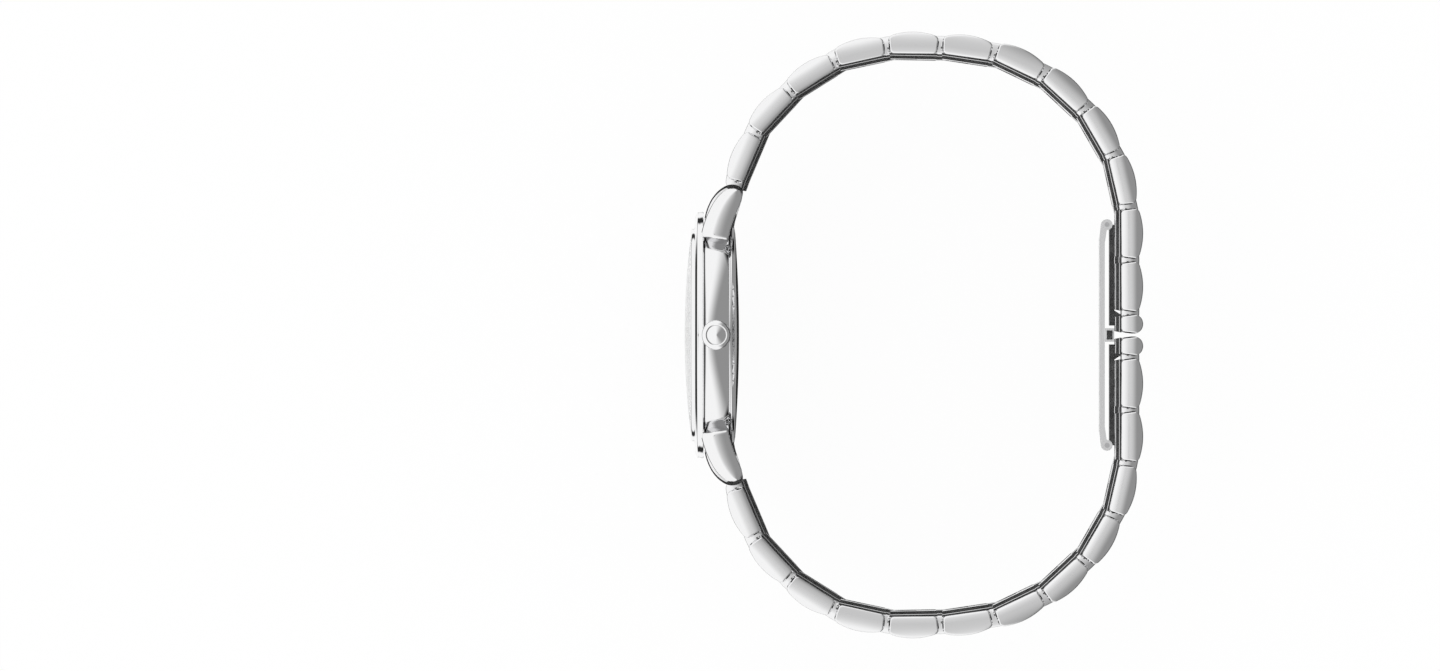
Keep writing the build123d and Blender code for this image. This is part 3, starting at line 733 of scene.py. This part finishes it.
@dataclass
class Case:
    """The mid case: a turned barrel and four curved lugs, as one piece.

    The lug's stations are its left edge, its right edge and how far its face lies below the flat.
    Its rims are (inside the edge, below the face). The ring tables are (from the front or the
    back, inside the barrel's radius).
    """

    finishes: Finishes
    front: float = -4.13
    back: float = -1.18
    radius: float = 13.80
    crest: float = 0.51
    crest_left: float = 0.38
    crest_right: float = 2.38
    left_fall: float = 0.06
    right_fall: float = 0.45
    cavity_radius: float = 11.55
    cavity_chamfer: float = 0.45
    lip_radius: float = 11.0
    lip_depth: float = 0.53
    lip_edge: float = 0.26
    joint_depth: float = 0.105
    joint_inner: float = 0.65
    joint_outer: float = 0.04
    joint_reach: float = 12.2
    lug_inner: float = 7.0
    lug_outer: float = 9.4
    lug_crest: float = 0.45
    lug_fall: float = 0.35
    lug_far_fall: float = 0.14
    lug_rim: float = 0.10
    lug_slope: float = 0.045
    lug_slope_start: float = 12.14
    LEFT_FACETS: ClassVar[int] = 6
    RIGHT_FACETS: ClassVar[int] = 12
    LUG_FACETS: ClassVar[int] = 16
    GROOVE: ClassVar[Table] = ((0.0, 0.60), (0.10, 0.60), (0.10, 0.12))
    BACK_RING: ClassVar[Table] = ((0.04, 0.50), (0.0, 0.60))
    LUG_LEFT_RIM: ClassVar[Table] = ((0.0, 0.24), (0.07, 0.05), (0.085, 0.02))
    LUG_RIGHT_RIM: ClassVar[Table] = ((0.05, 0.02), (0.012, 0.07), (0.0, 0.14))
    LUG_STATIONS: ClassVar[Rows] = (
        (-4.20, 11.46, -1.28, 11.15, 1.60), (-4.21, 11.47, -1.28, 11.16, 0.25),
        (-4.23, 11.53, -1.27, 11.21, 0.10), (-4.27, 11.66, -1.26, 11.32, 0.03),
        (-4.33, 11.88, -1.24, 11.46, 0.0), (-4.42, 12.14, -1.20, 11.62, 0.0),
        (-4.20, 12.95, -1.00, 12.40, 0.0), (-3.89, 13.86, -0.76, 13.20, 0.0),
        (-3.50, 14.75, -0.45, 14.05, 0.0), (-3.10, 15.50, -0.15, 14.75, 0.0),
        (-2.60, 16.20, 0.12, 15.35, 0.0), (-2.05, 16.75, 0.30, 15.85, 0.0),
        (-1.50, 17.09, 0.39, 16.25, 0.0), (-1.00, 17.22, 0.36, 16.52, 0.03),
        (-0.62, 17.24, 0.27, 16.74, 0.10), (-0.35, 17.17, 0.12, 16.92, 0.26),
        (-0.28, 17.13, 0.06, 16.97, 0.60),
    )

    def in_front_joint(self, centre: Vector) -> bool:
        """Whether a face lies in the narrow joint under the bezel, away from the lugs; such faces get painted
        shade, a near-black finish.

        Args:
            centre: The face's centre.

        Returns:
            True if it does.
        """
        inside = self.radius - sqrt(centre.y**2 + centre.z**2)
        in_ring = self.joint_outer < inside < self.joint_inner
        return in_ring and centre.x < self.front + self.joint_depth and abs(centre.y) < self.joint_reach

    def barrel(self) -> list[Point]:
        """The curved side of the mid case.

        Returns:
            Points as (along X, radius), from the bezel to the case back.
        """
        crest, left, right = self.front + self.crest, self.LEFT_FACETS, self.RIGHT_FACETS
        curve = [
            (crest - self.crest_left * k / left, self.radius - self.left_fall * (k / left) ** 2)
            for k in range(left, 0, -1)
        ]
        curve += [
            (crest + self.crest_right * k / right, self.radius - self.right_fall * (k / right) ** 2)
            for k in range(right + 1)
        ]
        return curve

    def build(self) -> None:
        """Builds the piece."""
        front, back, radius, cavity = self.front, self.back, self.radius, self.cavity_radius
        profile = [
            (front, self.lip_radius), *((front + behind, radius - inside) for behind, inside in self.GROOVE),
            *self.barrel(), *((back - before, radius - inside) for before, inside in self.BACK_RING),
            (back, cavity + self.cavity_chamfer), (back - self.cavity_chamfer, cavity),
            (front + self.lip_depth, cavity), (front + self.lip_depth, self.lip_radius - self.lip_edge),
        ]
        bm = lathe(profile, ALONG_X, closed=True)
        lugs = self.lug()
        mirrored_copy(lugs, Y_AXIS)
        mirrored_copy(lugs, Z_AXIS)
        join_into(bm, lugs)
        finish_piece(bm, "case_and_lugs", self.finishes, ["case_middle"], in_joint=self.in_front_joint)

    def lug(self) -> BMesh:
        """The lug at 12 o'clock on the crown's side, curved down towards the wrist.

        Returns:
            The mesh in the row frame.
        """
        sections = []
        for left_x, left_y, right_x, right_y, drop in self.LUG_STATIONS:
            start, end = Vector((left_x, left_y, 0.0)), Vector((right_x, right_y, 0.0))
            width = (end - start).length
            rim = self.lug_rim / width
            face = self.lug_outer - drop - self.lug_slope * max(left_y - self.lug_slope_start, 0.0)
            section = [start + ALONG_Z * self.lug_inner]
            for inside, below in self.LUG_LEFT_RIM:
                section.append(start.lerp(end, inside / width) + ALONG_Z * (face - self.lug_fall - below))
            for k in range(self.LUG_FACETS + 1):
                share = rim + (1 - 2 * rim) * k / self.LUG_FACETS
                fall, reach = self.lug_far_fall, 1 - self.lug_crest
                if share < self.lug_crest:
                    fall, reach = self.lug_fall, self.lug_crest
                below = fall * ((share - self.lug_crest) / reach) ** 2
                section.append(start.lerp(end, share) + ALONG_Z * (face - below))
            for inside, below in self.LUG_RIGHT_RIM:
                section.append(end.lerp(start, inside / width) + ALONG_Z * (face - self.lug_far_fall - below))
            section.append(end + ALONG_Z * self.lug_inner)
            sections.append(section)
        bm = bmesh.new()
        sweep(bm, sections)
        return bm


@dataclass
class EndLinks:
    """The end links between the lugs, each with a centre piece that reaches into the first link.

    The stations are the outer edge, the rear edge, the width of the dark outline, the width up
    to the face's inner line, and how much of the full step the face stands above the outline.
    """

    finishes: Finishes
    half_width: float = 6.90
    step: float = 0.08
    crease: float = 0.012
    rear_bevel: Point = (0.02, 0.05)
    heading: float = 20.0
    first_pin: Point = (0.27, 18.70)
    nose_start: float = -1.80
    nose_end: float = 2.075
    REFINEMENT: ClassVar[int] = 4
    OUTER_RIM: ClassVar[Table] = ((0.0, 0.05), (0.01, 0.0), (0.02, 0.0))
    STATIONS: ClassVar[Rows] = (
        (-4.05, 13.80, -0.60, 12.60, 0.165, 0.42, 1.0), (-3.89, 14.50, -0.45, 13.40, 0.165, 0.40, 1.0),
        (-3.55, 15.40, -0.25, 14.10, 0.165, 0.37, 1.0), (-3.10, 16.20, -0.02, 14.80, 0.18, 0.34, 0.8),
        (-2.48, 16.93, 0.18, 15.50, 0.24, 0.34, 0.3), (-1.73, 17.48, 0.33, 16.00, 0.30, 0.40, 0.0),
        (-1.06, 17.70, 0.42, 16.40, 0.30, 0.40, 0.0), (-0.45, 17.68, 0.46, 16.70, 0.30, 0.40, 0.0),
        (0.05, 17.50, 0.46, 16.95, 0.30, 0.40, 0.0), (0.30, 17.30, 0.44, 17.15, 0.12, 0.15, 0.0),
    )

    def shell(self) -> BMesh:
        """The curved block between the lugs at 12 o'clock, its half towards the crown.

        Returns:
            The mesh in the row frame.
        """
        flat = self.half_width - self.step
        sections = []
        for outer_x, outer_y, rear_x, rear_y, line, strip, rise in refined(self.STATIONS, self.REFINEMENT):
            start, end = Vector((outer_x, outer_y, 0.0)), Vector((rear_x, rear_y, 0.0))
            width = (end - start).length
            top = flat + self.step * max(0.0, rise)
            upper = [(inside, flat - below) for inside, below in self.OUTER_RIM]
            upper += [(line - self.crease, flat), (line, flat), (strip, top), (strip + self.crease, top)]
            section = [start.lerp(end, inside / width) + ALONG_Z * height for inside, height in upper]
            section += [end.lerp(start, self.rear_bevel[0] / width) + ALONG_Z * top]
            section += [end + ALONG_Z * (top - self.rear_bevel[1]), end, start.copy()]
            sections.append(section)
        bm = bmesh.new()
        sweep(bm, sections)
        return bm

    def build(self) -> None:
        """Builds both end links."""
        bracelet = Bracelet(self.finishes)
        turn, nose = radians(self.heading), (self.nose_start, self.nose_end)
        matrix = Matrix.Identity(4)
        matrix.col[0][:3], matrix.col[1][:3] = (sin(turn), cos(turn), 0.0), (-cos(turn), sin(turn), 0.0)
        matrix.col[3][:3] = (*self.first_pin, 0.0)
        for side in Side:
            bm = self.shell()
            join_into(bm, bracelet.centre_pillow(*nose), matrix)
            join_into(bm, bracelet.band(*nose, 0.0, bracelet.row_half), matrix)
            mirrored_copy(bm, Z_AXIS)
            if side is Side.SIX:
                ops.scale(bm, vec=(1, -1, 1), verts=bm.verts)
            node = f"end_link_{side.value}"
            finish_piece(bm, f"{node}_polished", self.finishes, [node])


@dataclass
class Bezel:
    """The stepped bezel. Its tables are (before the mid case, inside the radius or the step)."""

    finishes: Finishes
    front: float = -5.68
    rear: float = -4.13
    radius: float = 14.50
    step_radius: float = 12.50
    bore: float = 11.60
    bore_chamfer: Point = (0.08, 0.10)
    RIM: ClassVar[Table] = (
        (0.0, 1.30), (0.06, 1.30), (0.06, 0.12), (0.08, 0.04), (0.12, 0.0), (0.22, 0.006), (0.36, 0.025),
        (0.48, 0.048), (0.55, 0.066), (0.62, 0.082), (0.70, 0.066), (0.74, 0.074), (0.78, 0.11), (0.80, 0.15),
        (1.03, 0.67), (1.045, 0.74),
    )
    STEP: ClassVar[Table] = (
        (1.06, -0.30), (1.07, -0.03), (1.12, -0.004), (1.20, 0.0), (1.32, 0.006), (1.42, 0.03), (1.48, 0.075),
        (1.52, 0.16), (1.54, 0.34), (1.55, 0.50),
    )

    def build(self) -> None:
        """Builds the piece."""
        profile = [
            (self.rear, self.bore),
            *((self.rear - before, self.radius - inside) for before, inside in self.RIM),
            *((self.rear - before, self.step_radius - inside) for before, inside in self.STEP),
            (self.front, self.bore + self.bore_chamfer[1]), (self.front + self.bore_chamfer[0], self.bore),
        ]
        bm = lathe(profile, ALONG_X, closed=True)
        finish_piece(bm, "bezel_polished", self.finishes, ["bezel"])


@dataclass
class Crystal:
    """The domed crystal, set into the bezel. Its rim is (behind the bezel's front, inside the radius)."""

    finishes: Finishes
    front: float = -5.68
    radius: float = 11.60
    rise: float = 0.70
    depth: float = 1.05
    FACETS: ClassVar[int] = 14
    RIM: ClassVar[Table] = ((-0.02, 0.06), (0.03, 0.0))

    def build(self) -> None:
        """Builds the piece."""
        top, rear, radius = self.front - self.rise, self.front + self.depth, self.radius
        sphere = (radius**2 + self.rise**2) / (2 * self.rise)
        rings = [radius * k / self.FACETS for k in range(self.FACETS)]
        profile = [
            *((top + sphere - sqrt(sphere**2 - ring * ring), ring) for ring in rings),
            *((self.front + behind, radius - inside) for behind, inside in self.RIM),
            (rear, radius), (rear, 0.0),
        ]
        bm = lathe(profile, ALONG_X)
        finish_piece(bm, "crystal_domed", self.finishes, ["crystal"], finish="crystal_glass")


@dataclass
class CaseBack:
    """The case back, slightly domed, with a rounded edge. Its edge is (along X, inside the radius)."""

    finishes: Finishes
    front: float = -1.18
    radius: float = 13.0
    neck: float = 0.12
    dome: float = 0.0031
    ring_width: float = 0.75
    spigot_radius: float = 11.50
    spigot_end: float = -1.71
    spigot_wall: float = 0.50
    plate_inside: float = -0.65
    RINGS: ClassVar[int] = 17
    EDGE: ClassVar[Table] = (
        (-0.49, 0.72), (-0.52, 0.50), (-0.54, 0.36), (-0.55, 0.345), (-0.77, 0.115), (-0.785, 0.095),
        (-0.80, 0.06), (-0.82, 0.03), (-0.92, 0.006), (-1.02, 0.0), (-1.05, 0.02), (-1.07, 0.10),
    )

    def build(self) -> None:
        """Builds the piece."""
        rings = [self.ring_width * k for k in range(self.RINGS)]
        inner = self.spigot_radius - self.spigot_wall
        profile = [
            *((-self.dome * ring**2, ring) for ring in rings),
            *((along, self.radius - inside) for along, inside in self.EDGE),
            (self.front, self.radius - self.neck), (self.front, self.spigot_radius),
            (self.spigot_end, self.spigot_radius), (self.spigot_end, inner), (self.plate_inside, inner),
            (self.plate_inside, 0.0),
        ]
        bm = lathe(profile, ALONG_X)
        finish_piece(bm, "case_back_polished", self.finishes, ["case_back"])


@dataclass
class Crown:
    """The fluted crown, with a bare recessed end.

    Its tables run outwards along Z: the foot is (after the start, inside the radius), the rim
    (before the end, inside the radius), the recess (before the end, outside the recess's
    radius) and the cone in the middle (before the end, radius).
    """

    finishes: Finishes
    centre_x: float = -2.655
    radius: float = 1.75
    recess: float = 1.18
    start: float = 14.10
    end: float = 16.40
    hollow: float = 1.25
    hollow_end: float = 15.48
    flutes: int = 36
    flute_start: float = 0.12
    flute_end: float = 0.40
    flute_depth: float = 0.07
    outer_band: float = 0.05
    phase_shift: float = 0.001
    FLUTE_FACETS: ClassVar[int] = 4
    GROOVE: ClassVar[Point] = (1.5, 3.5)
    FOOT: ClassVar[Table] = ((0.0, 0.14), (0.10, 0.02), (0.16, 0.0))
    RIM: ClassVar[Table] = (
        (0.46, 0.0), (0.38, 0.03), (0.28, 0.05), (0.16, 0.13), (0.08, 0.24), (0.035, 0.38), (0.003, 0.49),
        (0.0, 0.505),
    )
    RECESS: ClassVar[Table] = ((0.02, 0.04), (0.06, 0.0), (0.20, -0.01), (0.21, -0.05), (0.19, -0.14))
    CONE: ClassVar[Table] = ((0.04, 0.20), (0.025, 0.08), (0.02, 0.0))

    def build(self) -> None:
        """Builds the crown: a turned body whose rim is fluted by moving every other pair of facets in."""
        profile = [
            (self.hollow_end, 0.0), (self.hollow_end, self.hollow), (self.start, self.hollow),
            *((self.start + after, self.radius - inside) for after, inside in self.FOOT),
            *((self.end - before, self.radius - inside) for before, inside in self.RIM),
            *((self.end - before, self.recess + outside) for before, outside in self.RECESS),
            *((self.end - before, radius) for before, radius in self.CONE),
        ]
        steps = self.flutes * self.FLUTE_FACETS
        bm = lathe(profile, ALONG_Z, Vector((self.centre_x, 0, 0)), steps)
        for vert in bm.verts:
            out = Vector((vert.co.x - self.centre_x, vert.co.y, 0.0))
            fluted = self.start + self.flute_start < vert.co.z < self.end - self.flute_end
            if not fluted or out.length < self.radius - self.outer_band:
                continue
            turn = Vector((1, 0)).angle_signed(out.to_2d())
            phase = (turn / (2 * pi) * steps + self.phase_shift) % self.FLUTE_FACETS
            if self.GROOVE[0] < phase < self.GROOVE[1]:
                ops.translate(bm, vec=-out.normalized() * self.flute_depth, verts=[vert])
        finish_piece(bm, "crown_fluted", self.finishes, ["crown"], "crown_group")


@dataclass
class CarriedOver:
    """Materials for the CAD nodes. The ones that aren't listed are polished steel."""

    finishes: Finishes
    NODES: ClassVar[dict[str, tuple[str, ...]]] = {
        "crystal_glass": ("crystal",),
        "dial_lacquer": ("dial",),
        "marker_metal": ("hour_markers",),
        "hand_metal": ("minute_hand", "hour_hand"),
        "wheel_brass": ("centre_arbor", "minute_wheel", "hour_wheel"),
        "plate_brass": ("main_plate",),
        "holder_plastic": ("movement_holder", "train_housing"),
        "steel_plain": (
            "battery", "battery_clamp", "stator", "crown_tube", "stem", "spring_bars", "clasp_pins",
        ),
        "coil_copper": ("coil",),
        "board_green": ("circuit_board",),
        "gasket_black": ("case_back_gasket", "crown_gasket"),
        "steel_brushed": ("clasp_bridge", "clasp_catch"),
    }

    def build(self) -> None:
        """Gives every CAD node its material."""
        finish_of = {node: finish for finish, nodes in self.NODES.items() for node in nodes}
        for node, piece in frame["nodes"].items():
            piece.data.materials.clear()
            piece.data.materials.append(self.finishes[finish_of.get(node, "steel_polished")])
        LOG.info("%d CAD nodes have their materials", len(frame["nodes"]))


@dataclass
class Studio:
    """Camera, floor, and the world that lights the watch and is mirrored in its steel.

    The fades of the world work on the parts of a direction: X, Z, or a sum of parts. Each pair
    of them bounds one dark part of the studio.
    """

    centre: Point = (-2.24, -0.06)
    width: float = 169.8
    lens: float = 700.0
    sensor: float = 36.0
    clip_end_m: float = 100.0
    floor_z: float = -14.52
    floor_half_m: float = 1.5
    floor_colour: tuple[float, ...] = (0.98, 0.98, 0.98, 1.0)
    floor_glow: float = 0.94
    grey_bend: Point = (-0.18, -0.20)
    wrist_slant: Point = (-0.6, -0.88)
    dial_slant: float = 0.8
    darkness: float = -0.97
    GREY_SIDE: ClassVar[Fade] = Fade(-0.16, 0.22, 1.0, 0.30)
    LENS: ClassVar[Fade] = Fade(0.99945, 0.99982, 1.0, 0.02)
    WRIST_SIDE: ClassVar[Fade] = Fade(-0.15, -0.01, 0.0, 1.0)
    WRIST_HEIGHT: ClassVar[tuple[Fade, Fade]] = (Fade(0.30, 0.50, 1.0, 0.0), Fade(-0.40, -0.15, 0.0, 1.0))
    DIAL_SIDE: ClassVar[Fade] = Fade(-0.45, -0.15, 1.0, 0.0)
    DIAL_HEIGHT: ClassVar[tuple[Fade, Fade]] = (Fade(-0.62, -0.48, 1.0, 0.0), Fade(-0.93, -0.86, 0.0, 1.0))
    RING_HEIGHT: ClassVar[tuple[Fade, Fade]] = (Fade(-0.86, -0.80, 0.0, 1.0), Fade(-0.70, -0.62, 1.0, 0.0))
    BELOW_SIDE: ClassVar[Fade] = Fade(-0.03, 0.0, 0.0, 1.0)
    BELOW_HEIGHT: ClassVar[Fade] = Fade(-0.9945, -0.9915, 1.0, 0.0)

    def camera(self) -> None:
        """Looks straight along -Z at the crown's side, with a long lens."""
        data = bpy.data.cameras.new("camera")
        data.lens = self.lens
        data.sensor_width = self.sensor
        data.clip_end = self.clip_end_m
        camera = bpy.data.objects.new("camera", data)
        bpy.context.scene.collection.objects.link(camera)
        distance = self.width * self.lens / self.sensor
        camera.location = (self.centre[0] * MM, self.centre[1] * MM, distance * MM)
        bpy.context.scene.camera = camera

    def floor(self) -> None:
        """A plain white floor that keeps a faint shadow and isn't mirrored in the steel."""
        bm = bmesh.new()
        place = Matrix.Translation(ALONG_Z * self.floor_z * MM)
        ops.create_grid(bm, x_segments=1, y_segments=1, size=self.floor_half_m, matrix=place)
        mesh = bpy.data.meshes.new("floor")
        bm.to_mesh(mesh)
        bm.free()
        floor = bpy.data.objects.new("floor", mesh)
        bpy.context.scene.collection.objects.link(floor)
        material = bpy.data.materials.new("floor_white")
        material.use_nodes = True
        tree = material.node_tree
        tree.nodes.clear()
        diffuse = tree.nodes.new("ShaderNodeBsdfDiffuse")
        diffuse.inputs["Color"].default_value = self.floor_colour
        glow = tree.nodes.new("ShaderNodeEmission")
        paths = tree.nodes.new("ShaderNodeLightPath").outputs
        seen = math_node(tree, "MAXIMUM", paths["Is Camera Ray"], paths["Is Transmission Ray"])
        bright = tree.nodes.new("ShaderNodeMixShader")
        tree.links.new(math_node(tree, "MULTIPLY", seen, self.floor_glow), bright.inputs["Fac"])
        tree.links.new(diffuse.outputs["BSDF"], bright.inputs[1])
        tree.links.new(glow.outputs["Emission"], bright.inputs[2])
        clear = tree.nodes.new("ShaderNodeBsdfTransparent")
        mix = tree.nodes.new("ShaderNodeMixShader")
        tree.links.new(paths["Is Glossy Ray"], mix.inputs["Fac"])
        tree.links.new(bright.outputs["Shader"], mix.inputs[1])
        tree.links.new(clear.outputs["BSDF"], mix.inputs[2])
        out = tree.nodes.new("ShaderNodeOutputMaterial")
        tree.links.new(mix.outputs["Shader"], out.inputs["Surface"])
        mesh.materials.append(material)

    def mirrored(self, tree: NodeTree) -> NodeSocket:
        """Brightness of the studio as polished steel shows it: white, with grey and dark parts.

        Args:
            tree: The world's node tree.

        Returns:
            The brightness, by direction.
        """
        maths, fade = partial(math_node, tree), partial(fade_node, tree)
        coordinates = tree.nodes.new("ShaderNodeTexCoord")
        parts = tree.nodes.new("ShaderNodeSeparateXYZ")
        tree.links.new(coordinates.outputs["Generated"], parts.inputs["Vector"])
        across, height = parts.outputs["X"], parts.outputs["Z"]
        sideways = maths("ABSOLUTE", parts.outputs["Y"])
        bent = maths("MULTIPLY_ADD", maths("MULTIPLY", sideways, sideways), self.grey_bend[0], across)
        bent = maths("MULTIPLY_ADD", sideways, self.grey_bend[1], bent)
        shown = maths("MINIMUM", fade(bent, self.GREY_SIDE), fade(height, self.LENS))
        wrist = maths("MULTIPLY_ADD", sideways, self.wrist_slant[0], across)
        wrist = maths("MULTIPLY_ADD", height, self.wrist_slant[1], wrist)
        wrist_height, dial_height, ring = (
            maths("MULTIPLY", *(fade(height, bound) for bound in bounds))
            for bounds in (self.WRIST_HEIGHT, self.DIAL_HEIGHT, self.RING_HEIGHT)
        )
        wrist = maths("MULTIPLY", fade(wrist, self.WRIST_SIDE), wrist_height)
        dial = maths("MULTIPLY_ADD", sideways, self.dial_slant, across)
        dial = maths("MULTIPLY", fade(dial, self.DIAL_SIDE), dial_height)
        below = maths("MULTIPLY", fade(height, self.BELOW_HEIGHT), fade(across, self.BELOW_SIDE))
        dark = maths("MAXIMUM", maths("MAXIMUM", wrist, below), maths("MAXIMUM", dial, ring))
        return maths("MULTIPLY", shown, maths("MULTIPLY_ADD", dark, self.darkness, 1.0))

    def world(self) -> None:
        """Soft white light all round, in which only glossy rays find the studio's grey and dark parts."""
        world = bpy.data.worlds.new("studio")
        bpy.context.scene.world = world
        world.use_nodes = True
        tree = world.node_tree
        tree.nodes.clear()
        paths = tree.nodes.new("ShaderNodeLightPath")
        darker = math_node(tree, "SUBTRACT", self.mirrored(tree), 1.0)
        level = math_node(tree, "MULTIPLY_ADD", darker, paths.outputs["Is Glossy Ray"], 1.0)
        background = tree.nodes.new("ShaderNodeBackground")
        out = tree.nodes.new("ShaderNodeOutputWorld")
        tree.links.new(level, background.inputs["Color"])
        tree.links.new(background.outputs["Background"], out.inputs["Surface"])

    def build(self) -> None:
        """Builds the whole studio."""
        self.camera()
        self.floor()
        self.world()
        bpy.context.scene.view_settings.view_transform = "Standard"


def main() -> None:
    """Builds the watch and the studio, in order."""
    logging.basicConfig(level=logging.INFO, format="%(name)s: %(message)s")
    finishes = Finishes()
    for assembly in (CarriedOver, Bracelet, Case, Bezel, Crystal, CaseBack, EndLinks, Crown):
        assembly(finishes).build()
    Studio().build()


if __name__ == "__main__":
    main()
